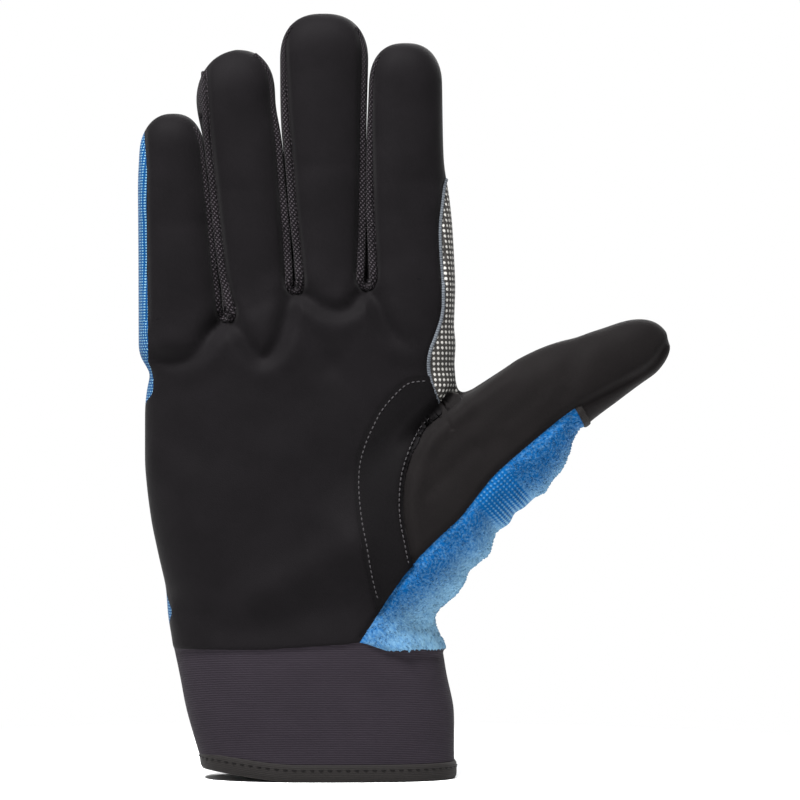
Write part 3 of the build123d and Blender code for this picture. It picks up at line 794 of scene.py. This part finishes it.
def build_hand():
    """The palm, the back, the thumb and the cuff, up to where the fingers start."""
    p, faces = prepared(whole_hand, (-70, -27, -3), (121, 27, 176), HAND_GRID)
    faces = faces[(start_height(p)[faces] < 3).all(1)]
    seams = (thumb_seam, patch_outer, patch_inner, grip_front, grip_back, terry_back)
    band_edge = FINGERS["little"]["seams"][0]
    lines = [
        start_height,
        lambda q: q[:, 1] - back_edge(q[:, 0], q[:, 2]),
        *(on_palm(beside, seam) for seam in seams),
        lambda q: q[:, 2] - np.where(q[:, 1] < 0, cuff_top(q[:, 0]), CUFF_TOP_BACK),
        lambda q: q[:, 0] - band_edge(q[:, 2]),
        lambda q: q[:, 0] - THUMB_CUT_X,
        lambda q: q[:, 0] - THUMB_PART_X,
        on_palm(beside, grip_low),
        lambda q: q[:, 2] - RIM - rim_lift(q[:, 0]),
        tape_near,
        lambda q: tape_near(q) + TAPE_WIDTH,
        *(on_palm(inside, loop) for loop in webs.values()),
    ]
    p, faces, normals = cut(whole_hand, p, faces, lines)
    c = p[faces].mean(1)
    faces = faces[(start_height(c) < 0) & (c[:, 2] > RIM + rim_lift(c[:, 0]))]
    c = p[faces].mean(1)
    x, y, z = c.T
    front = y < back_edge(x, z)
    thumb = (x > THUMB_CUT_X) | (beside(patch_inner, x, z) > 0)
    stretch = beside(thumb_seam, x, z) < 0
    behind_tip, near = (x > THUMB_PART_X) & (~front | stretch), tape_near(c)
    grip = beside(grip_front, x, z) > 0
    web = np.any([inside(loop, x, z) > 0 for loop in webs.values()], axis=0)
    places = [  # the first that a triangle is in gives its panel
        ("cuff", (z < np.where(y < 0, cuff_top(x), CUFF_TOP_BACK)) & (y < 2) & (x < THUMB_CUT_X)),
        ("cuff_rear", (z < CUFF_TOP_BACK) & (x < THUMB_CUT_X)),
        ("thumb_cap", behind_tip & (near < -TAPE_WIDTH)),
        ("thumb_tape", behind_tip & (near < 0)),
        ("terry", front & stretch & (x > 8)),
        ("web", web),
        ("band", front & (x < band_edge(z)) & (z > BAND_LOW)),
        ("grip", front & (x < THUMB_CUT_X) & grip & (beside(grip_low, x, z) > 0)),
        ("thumb_suede", front & (thumb | grip)),
        ("patch", front & (beside(patch_outer, x, z) > 0) & (x > 5)),
        ("palm", front),
        ("grip", (beside(grip_back, x, z) > 0) & (z > 118) & (x < THUMB_CUT_X)),
        ("terry_back", (beside(terry_back, x, z) < 0) | (x > THUMB_CUT_X)),
    ]
    label = np.select([where for _, where in places], [name for name, _ in places], "back")
    swing = [(x, THUMB_Y, 100) for x in (THUMB_CUT_X, THUMB_PART_X)]
    (fold_x, fold_z), (along_x, along_z) = THUMB_FOLD_AT, THUMB_FOLD_ALONG
    bend = [(fold_x + s * along_x, THUMB_Y, fold_z + s * along_z) for s in (-THUMB_BEND, THUMB_BEND)]
    zones = {  # where, bodies, ends of the bend between them
        "root": (x < THUMB_CUT_X, "hand", None),
        "middle": ((x > THUMB_CUT_X) & (x < THUMB_PART_X), ("hand", "thumb_proximal"), swing),
        "tip": (x > THUMB_PART_X, ("thumb_proximal", "thumb_distal"), bend),
    }
    flat, round_thumb = flat_weave(p), thumb_weave(p)
    around = unrolled(p, hand_left, hand_right, hand_depth)
    rows = [  # panel, zone, material, slot, CAD nodes, weave
        ("cuff", "root", CUFF, "cuff_fabric", ["cuff_knit"], flat),
        ("cuff_rear", "root", CUFF, "neoprene", ["cuff_back"], flat),
        ("palm", "root", SUEDE, "suede", ["palm_suede"], flat),
        ("patch", "root", PATCH, "suede", ["thumb_crotch_patch"], flat),
        ("band", "root", PIQUE, "stretch_knit", ["back_stretch"], around),
        ("back", "root", PIQUE, "stretch_knit", ["back_stretch"], around),
        ("grip", "root", GRIP, "grip_mesh", ["index_side_grip"], around),
        ("web", "root", TWILL, "side_knit", ["fourchette_webs"], flat),
        ("terry", "root", TERRY, "stretch_knit", ["thumb_root_stretch"], round_thumb),
        ("terry_back", "root", TERRY, "stretch_knit", ["back_stretch"], round_thumb),
        # the thumb's suede pieces take the lighter suede, whose colour holds a painted sheen
        ("thumb_suede", "root", SHEEN_SUEDE, "suede", ["thumb_root_suede"], flat),
        ("thumb_suede", "middle", SHEEN_SUEDE, "suede", ["thumb_proximal_suede"], flat),
        ("terry", "middle", TERRY, "stretch_knit", ["thumb_proximal_stretch"], round_thumb),
        ("terry_back", "middle", TERRY, "stretch_knit", ["thumb_proximal_stretch"], round_thumb),
        ("thumb_suede", "tip", SHEEN_SUEDE, "suede", ["thumb_proximal_suede", "thumb_distal_suede"], flat),
        ("terry", "tip", TERRY, "stretch_knit", ["thumb_proximal_stretch"], round_thumb),
        ("terry_back", "tip", TERRY, "stretch_knit", ["thumb_proximal_stretch"], round_thumb),
        ("thumb_cap", "tip", SHEEN_SUEDE, "suede", ["thumb_distal_cap"], flat),
        ("thumb_tape", "tip", BINDING, "binding", ["thumb_distal_tape"], round_thumb),
    ]
    for panel_name, zone, mat, slot, nodes, weave in rows:
        where, bodies, ends = zones[zone]
        chosen = faces[(label == panel_name) & where]
        name = f"{panel_name}_{zone}" if panel_name in ("terry", "terry_back", "thumb_suede") else panel_name
        sewn(name, p, chosen, normals, weave, mat, nodes, bodies, ends, RAISED.get(panel_name, 0.0))
        if panel_name == "terry":
            terry_loops(zone, p, chosen, normals, bodies, ends)


def welt_line(shape, seam, way, low, high):
    """A line beside a finger's seam, kept within the finger's round end."""
    z = np.linspace(low, high, 40)
    left, right = (side(z) for side in shape["sides"])
    cap = np.maximum((z - shape["top"]) / shape["cap"] + 1, 0)
    half = (right - left) / 2 * np.maximum(1.0 - cap**FINGER_POWER, 0) ** (1 / FINGER_POWER)
    middle = (left + right) / 2
    return np.stack([middle + way * np.minimum(way * (seam(z) - middle) + PIPING, half - PIPING), z], 1)


def build_finger(name, shape):
    """One finger in two lengths: its root below the line where it is parted, and its tip above it."""
    form = one_finger(shape)
    left, right = shape["sides"]
    heights = np.arange(150, shape["top"])
    low = (left(heights).min() - 4, -17, min(z for _, z in shape["start"]) - 5)
    high = (right(heights).max() + 4, 17, shape["top"] + 2)
    p, faces = prepared(form, low, high, FINGER_GRID)
    faces = faces[(start_height(p)[faces] > -3).all(1)]
    seam_left, seam_right = shape["seams"]
    lines = [
        start_height,
        lambda q: q[:, 2] - shape["part"],
        lambda q: q[:, 1] - back_edge(q[:, 0], q[:, 2]),
        lambda q: q[:, 0] - seam_left(q[:, 2]),
        lambda q: q[:, 0] - seam_right(q[:, 2]),
    ]
    if name == "index":
        lines += [lambda q: q[:, 2] - GRIP_END, lambda q: q[:, 0] - GRIP_BACK_X]
    p, faces, normals = cut(form, p, faces, lines)
    faces = faces[start_height(p[faces].mean(1)) > 0]
    x, y, z = p[faces].mean(1).T
    front = y < back_edge(x, z)
    beyond_left, beyond_right = x < seam_left(z), x > seam_right(z)
    if name == "little":
        label = np.select([beyond_right, front & ~beyond_left, front], ["side", "suede", "band"], "back")
    elif name == "index":
        grip = (z < GRIP_END) & np.where(front, beyond_right, x > GRIP_BACK_X)
        label = np.select([beyond_left, grip, front], ["side", "grip", "suede"], "back")
    else:
        label = np.select([beyond_left | beyond_right, front], ["side", "suede"], "back")
    (x0, z0), (x1, z1) = shape["start"]
    up = np.array([-(z1 - z0), 0, x1 - x0]) / math.hypot(x1 - x0, z1 - z0)
    foot = np.array([(x0 + x1) / 2, 0, (z0 + z1) / 2])
    base = [foot, foot + BASE_BEND * up]
    fold = [(0, 0, shape["fold"] + s * FINGER_BEND) for s in (-1, 1)]
    parts = {  # where, lengths of the finger, bodies, ends of the bend between them
        "root": (z < shape["part"], ["proximal"], ("hand", f"{name}_proximal"), base),
        "tip": (z >= shape["part"], ["proximal", "distal"], (f"{name}_proximal", f"{name}_distal"), fold),
    }
    around = unrolled(p, left, right, finger_depth)
    walls = "fourchette" if name in ("little", "index") else "fourchettes"
    for part, (where, lengths, bodies, ends) in parts.items():
        suede, back, wall = (
            [f"{name}_{length}_{kind}" for length in lengths] for kind in ("suede", "back", walls)
        )
        rows = [
            ("suede", SUEDE, "suede", suede, flat_weave(p)),
            ("back", PIQUE, "stretch_knit", back, around),
            ("side", TWILL, "side_knit", wall, wall_weave(p, shape)),
            ("band", PIQUE, "stretch_knit", back, around),
            ("grip", GRIP, "grip_mesh", ["index_proximal_grip"], around),
        ]
        for kind, mat, slot, nodes, weave in rows:
            chosen = faces[(label == kind) & where]
            sewn(f"{name}_{kind}_{part}", p, chosen, normals, weave, mat, nodes, bodies, ends)
        for side, seam, way in (("left", seam_left, -1), ("right", seam_right, 1)):
            low_z, high_z = shape["start"][(way + 1) // 2][1] - 0.3, shape["part"]
            if part == "tip":
                low_z, high_z = shape["part"], shape["top"] - 5 + 15 * way * shape.get("slant", 0)
            if (name, side) == ("index", "right"):
                z_line = np.linspace(low_z, GRIP_END if part == "tip" else high_z, 40)
                rope(f"index_grip_edge_{part}", form, np.stack([seam(z_line), z_line], 1), EDGING, EDGE,
                     ["index_proximal_grip"], bodies, ends, lift=0.1)
            elif (name, side) != ("little", "left"):
                rope(f"{name}_piping_{side}_{part}", form, welt_line(shape, seam, way, low_z, high_z), PIPING,
                     TWILL, wall, bodies, ends, lift=0.1, taper=WELT_TAPER[part])


# --- edgings, stitches and pile ---
def on_surface(form, x, z, side):
    """Points of the dressed form at x and z on its palm side (-1) or back (1)."""
    near, far = np.zeros(len(x)), np.full(len(x), 32.0 * side)
    for _ in range(26):
        middle = (near + far) / 2
        q = np.stack([x, middle, z], 1)
        full = dressed(q, form(q)) < 0
        near, far = np.where(full, middle, near), np.where(full, far, middle)
    return np.stack([x, (near + far) / 2, z], 1)


def lengths_along(points):
    """How far along a line each of its points is."""
    return np.concatenate([[0], np.cumsum(np.linalg.norm(np.diff(points, axis=0), axis=1))])


def at_length(points, run, places):
    return np.stack([np.interp(places, run, column) for column in points.T], 1)


def shifted(line, by):
    """A line moved to its own left."""
    d = np.gradient(np.asarray(line, float), axis=0)
    d /= np.maximum(np.linalg.norm(d, axis=1, keepdims=True), 1e-9)
    return line + by * np.stack([-d[:, 1], d[:, 0]], 1)


def tube_faces(rings, sides):
    """Triangles of a closed tube whose points run ring by ring."""
    i = np.arange((rings - 1) * sides)
    j = i - i % sides + (i + 1) % sides
    k = np.arange(1, sides - 1)
    last = (rings - 1) * sides
    caps = [np.stack([0 * k, k + 1, k], 1), np.stack([0 * k + last, last + k, last + k + 1], 1)]
    return np.vstack([np.stack([i, j, j + sides], 1), np.stack([i, j + sides, i + sides], 1), *caps])


def threads(name, a, b, normal, radius, mat, dip=0.35, rings=5, sides=6, weave=lambda p: p):
    """Short stitches from points a to points b, each sunk into the cloth at its ends."""
    axis = b - a
    axis /= np.linalg.norm(axis, axis=1, keepdims=True)
    across = np.cross(axis, normal)
    points = []
    for s in np.linspace(0, 1, rings):
        width = radius * (0.45 + 0.55 * math.sin(math.pi * s) ** 0.5)
        centre = a + s * (b - a) - dip * radius * 2 * (2 * s - 1) ** 2 * normal
        for turn in 2 * math.pi * np.arange(sides) / sides:
            points.append(centre + width * (math.cos(turn) * across + math.sin(turn) * normal))
    points = np.stack(points, 1)
    starts = rings * sides * np.arange(len(a))[:, None, None]
    faces = (tube_faces(rings, sides)[None, :, ::-1] + starts).reshape(-1, 3)
    points = points.reshape(-1, 3)
    return mesh_object(name, points, faces, None, weave(points), mat)


def terry_loops(part, p, faces, normals, bodies, ends):
    """Loops of pile all over the thumb's stretch back, but not on its ribbed zone."""
    rng = np.random.default_rng(len(faces))
    corners = p[faces]
    edges = corners[:, 1] - corners[:, 0], corners[:, 2] - corners[:, 0]
    area = np.linalg.norm(np.cross(*edges), axis=1) / 2
    count = int(area.sum() / TUFT_PITCH**2)
    chosen = rng.choice(len(faces), count, p=area / area.sum())
    share = rng.dirichlet((1, 1, 1), count)[:, :, None]
    middle, normal = (corners[chosen] * share).sum(1), normals[faces[chosen, 0]]
    along = up_thumb(middle[:, 0], middle[:, 2])[0]
    pile = ((along < RIBS[0]) | (along > RIBS[3])) & (middle[:, 2] > cuff_top(middle[:, 0]) + 1)
    middle, normal = middle[pile], normal[pile]
    across = np.cross(normal, rng.normal(size=middle.shape))
    across *= rng.uniform(0.35, 0.6, (len(across), 1)) / np.linalg.norm(across, axis=1, keepdims=True)
    top = middle + rng.uniform(0.02, 0.2, (len(across), 1)) * normal
    loops = threads(f"terry_loops_{part}", top - across, top + across, normal, 0.2, TERRY, dip=1.2, rings=4,
                    sides=4, weave=thumb_weave)
    hold(loops, [], bodies, ends)


def rope(name, form, line, radius, mat, nodes, bodies, ends=None, lift=0.0, taper=(1.0, 1.0), smooth=3):
    """A round edging sewn along a line of the palm's side, half sunk into the cloth."""
    run = lengths_along(line)
    s = np.linspace(0, run[-1], max(6, int(run[-1] / ROPE_STEP)))
    centre = on_surface(form, *at_length(line, run, s).T, -1)
    for _ in range(smooth):
        centre[1:-1, 1] = (centre[:-2, 1] + 2 * centre[1:-1, 1] + centre[2:, 1]) / 4
    normal = unit_normals(form, centre)
    centre += lift * normal
    ahead = np.gradient(centre, axis=0)
    ahead /= np.linalg.norm(ahead, axis=1, keepdims=True)
    across = np.cross(ahead, normal)
    across /= np.linalg.norm(across, axis=1, keepdims=True)
    normal = np.cross(across, ahead)
    turn = 2 * np.pi * np.arange(ROPE_SIDES) / ROPE_SIDES
    size = (radius * np.interp(s, np.linspace(0, run[-1], len(taper)), taper))[:, None, None]
    ring = np.cos(turn)[None, :, None] * across[:, None] + np.sin(turn)[None, :, None] * normal[:, None]
    points = (centre[:, None] + size * ring).reshape(-1, 3)
    weave = np.stack([np.tile(turn * radius, len(s)), np.repeat(s, ROPE_SIDES), points[:, 1]], 1)
    thing = mesh_object(name, points, tube_faces(len(s), ROPE_SIDES), None, weave, mat)
    hold(thing, nodes, bodies, ends)


def stitch_row(name, line, lift):
    """A row of stitches on the palm's side, along a line."""
    run = lengths_along(line)
    middles = np.arange(STITCH_PITCH / 2, run[-1], STITCH_PITCH)
    a, b = (
        on_surface(whole_hand, *at_length(line, run, middles + s * STITCH_LENGTH / 2).T, -1) for s in (-1, 1)
    )
    normal = unit_normals(whole_hand, (a + b) / 2)
    row = threads(name, a + lift * normal, b + lift * normal, normal, 0.24, THREAD)
    hold(row, [], "hand")


def web_piping(name, loop, before, after):
    """The welt round the foot of a crotch, from one finger's welt to the next one's."""
    foot = before["start"][1][1]
    lo, hi = before["seams"][1](foot) + PIPING, after["seams"][0](foot) - PIPING
    bottom, width = loop[:, 1].min() + 1.0, max((hi - lo) / 2, 1.95)
    turn = np.linspace(0, math.pi, 15)
    arc = np.stack([(lo + hi) / 2 - width * np.cos(turn), bottom + width * (1 - np.sin(turn))], 1)
    rope(f"{name}_web_piping", whole_hand, np.vstack([[(lo, foot)], arc, [(hi, foot)]]), PIPING, TWILL,
         ["fourchette_webs"], "hand", lift=0.45, taper=(1.0, 0.85, 0.75, 0.85, 1.0), smooth=8)


# --- the cuff ---
def back_patch(name, x_range, z_range, low, high, mat, node, bodies, ends=None, corner=1.5):
    """A layer of the closure: a sheet that follows the back of the cuff between two heights above it."""
    xs = np.linspace(*x_range, max(6, int((x_range[1] - x_range[0]) / 0.8)))
    zs = np.linspace(*z_range, int((z_range[1] - z_range[0]) / 0.8))
    x, z = (a.ravel() for a in np.meshgrid(xs, zs, indexing="ij"))
    cx = np.clip(x, x_range[0] + corner, x_range[1] - corner)
    cz = np.clip(z, z_range[0] + corner, z_range[1] - corner)
    pull = np.minimum(1, corner / np.maximum(np.hypot(x - cx, z - cz), 1e-9))
    p = on_surface(hand_form, cx + (x - cx) * pull, cz + (z - cz) * pull, 1)
    n = len(zs)
    i = np.arange((len(xs) - 1) * n).reshape(-1, n)[:, :-1].ravel()
    faces = np.vstack([np.stack([i, i + 1, i + n], 1), np.stack([i + 1, i + n + 1, i + n], 1)])
    normals = unit_normals(hand_form, p)
    sewn(name, p, faces, normals, flat_weave(p), mat, [node], bodies, ends, high, -low)


def closure():
    """The hook-and-loop strap on the back of the wrist, and the label inside."""
    hinge = ((36, 21, 26), (28, 21, 26))  # where the strap leaves its anchor, and where it is free of it
    back_patch("loop_field", (-33, 4), (16, 36), 0.0, 0.7, LOOP, "loop_patch", "hand")
    back_patch("anchor_fold", (35.9, 38.8), (14, 37), 0.0, 3.4, STRAP, "strap_anchor", "hand",
               corner=1.0)
    back_patch("strap_band", (-32.4, 35.9), (14, 38), 1.8, 3.4, STRAP, "closure_strap",
               ("hand", "strap"), hinge, corner=1.2)
    back_patch("hook_field", (-31, -8), (16, 36), 1.0, 1.8, HOOK, "hook_patch", "strap")
    back_patch("pull_tab", (-39, -32), (15, 37), 1.4, 3.9, RUBBER, "strap_pull_tab",
               "strap", corner=2.5)
    back_patch("blank_label", (-10, 10), (22, 40), -1.65, -1.15, LABEL, "care_label", "hand",
               corner=0.8)


def hem():
    """The folded tape round the rim, over the cuff's raw edge, and its stitches."""
    count, power = 260, HAND_POWER
    turn = np.linspace(0, 2 * math.pi, 4000, endpoint=False)
    cos, sin = np.cos(turn), np.sin(turn)

    def ring(z):
        """The cuff's outline at a height, and its half width, its middle and its depth."""
        lo, hi, depth = hand_left(z), hand_right(z), hand_depth(z)
        half, middle = (hi - lo) / 2, (hi + lo) / 2
        x = middle + half * np.sign(cos) * np.abs(cos) ** (2 / power)
        return x, depth * np.sign(sin) * np.abs(sin) ** (2 / power), half, middle, depth

    run = lengths_along(np.stack(ring(3.0)[:2], 1))
    samples = np.arange(len(turn))
    pick = np.interp(np.linspace(0, run[-1], count, endpoint=False), run, samples)
    points, weave = [], []
    for height, out in HEM_PROFILE:
        x, y, half, middle, depth = ring(height)
        x, y = np.interp(pick, samples, x), np.interp(pick, samples, y)
        gx = np.sign(x - middle) * (np.abs(x - middle) / half) ** (power - 1) / half
        gy = np.sign(y) * (np.abs(y) / depth) ** (power - 1) / depth
        g = np.maximum(np.hypot(gx, gy), 1e-9)
        points.append(np.stack([x + out * gx / g, y + out * gy / g, height + rim_lift(x)], 1))
        weave.append(np.stack([np.arange(count) * run[-1] / count, np.full(count, float(height)), y], 1))
    faces = []
    i = np.arange(count)
    rows = len(HEM_PROFILE)
    for r in range(rows):
        a, b = r * count + i, r * count + (i + 1) % count
        c, d = (r + 1) % rows * count + i, (r + 1) % rows * count + (i + 1) % count
        faces += [np.stack([c, b, a], 1), np.stack([c, d, b], 1)]
    tape = mesh_object("hem_tape_roll", np.vstack(points), np.vstack(faces), None, np.vstack(weave), BINDING)
    hold(tape, ["hem_tape"], "hand")
    outer = points[3]
    normal = np.cross(np.roll(outer, -1, 0) - np.roll(outer, 1, 0), (0, 0, 1.0))
    normal /= np.linalg.norm(normal, axis=1, keepdims=True)
    run = lengths_along(outer)
    middles = np.arange(HEM_STITCH / 2, run[-1], HEM_STITCH)
    a, b = (at_length(outer + 0.12 * normal, run, middles + reach) for reach in (-0.8, 0.8))
    row = threads("hem_stitches", a, b, at_length(normal, run, middles), 0.22, DARK_THREAD)
    hold(row, [], "hand")


# --- floor, light and camera ---
def whitened(tree, kind, shader, share):
    """A shader that turns plain white, by a share of 0 to 1."""
    white = shade(tree, kind, {"Color": WHITE})[kind]
    return shade(tree, "MixShader", {0: share, 1: shader, 2: white})["Shader"]


def studio():
    """A pale floor that melts into the pale room, and soft lamps. The camera alone sees the pure white."""
    world = bpy.data.worlds.new("room")
    world.use_nodes = True
    tree = world.node_tree
    room = tree.nodes["Background"]
    room.inputs["Color"].default_value = WHITE
    room.inputs["Strength"].default_value = ROOM
    seen = shade(tree, "LightPath", {})["Is Camera Ray"]
    mix = whitened(tree, "Background", room.outputs["Background"], seen)
    tree.links.new(mix, tree.nodes["World Output"].inputs["Surface"])
    bpy.context.scene.world = world

    bpy.ops.mesh.primitive_circle_add(vertices=96, radius=1.2, fill_type="NGON")
    floor = bpy.context.object
    floor.name = "floor"
    mat = bpy.data.materials.new("floor")
    mat.use_nodes = True
    tree = mat.node_tree
    shader = tree.nodes["Principled BSDF"]
    shader.inputs["Base Color"].default_value = (0.86, 0.86, 0.86, 1)
    shader.inputs["Roughness"].default_value = 0.9
    place = shade(tree, "TexCoord", {})["Object"]
    far = shade(tree, "VectorMath", {0: place}, operation="LENGTH")["Value"]
    seen = shade(tree, "LightPath", {})["Is Camera Ray"]
    share = maths(tree, "MULTIPLY", ramp(tree, far, *FLOOR_FADE), seen)
    mix = whitened(tree, "Emission", shader.outputs["BSDF"], share)
    tree.links.new(mix, tree.nodes["Material Output"].inputs["Surface"])
    floor.data.materials.append(mat)

    for name, place, size, power in LAMPS:
        lamp = bpy.data.lights.new(name, "AREA")
        lamp.size, lamp.energy = size, power
        thing = bpy.data.objects.new(name, lamp)
        thing.location = place
        thing.rotation_euler = (Vector(LAMP_AIM) - thing.location).to_track_quat("-Z", "Y").to_euler()
        bpy.context.scene.collection.objects.link(thing)


def photo_camera():
    data = bpy.data.cameras.new("photo_view")
    data.sensor_width = SENSOR
    data.lens = SENSOR * CAMERA_FAR / FRAME_WIDTH
    camera = bpy.data.objects.new("photo_view", data)
    camera.location = (FRAME_MIDDLE[0] * MM, -CAMERA_FAR * MM, FRAME_MIDDLE[1] * MM)
    camera.rotation_euler = (math.radians(90), 0, 0)
    bpy.context.scene.collection.objects.link(camera)
    bpy.context.scene.camera = camera
    bpy.context.scene.view_settings.view_transform = "Standard"


build_hand()
for finger_name, finger_shape in FINGERS.items():
    build_finger(finger_name, finger_shape)
hem()
stitch_row("patch_outer_stitches", trimmed(shifted(patch_outer, 1.6)), 0.95)
stitch_row("patch_inner_stitches", trimmed(shifted(patch_inner, -1.8)), 1.2)
fingers = list(FINGERS.values())
for (web_name, loop), before, after in zip(webs.items(), fingers, fingers[1:]):
    web_piping(web_name, loop, before, after)
edge_line = grip_front[(grip_front[:, 1] < 168.3) & (grip_front[:, 1] > 124)]
rope("grip_edge", whole_hand, edge_line, EDGING, EDGE, ["grip_tape"], "hand", lift=0.25)
closure()
studio()
photo_camera()
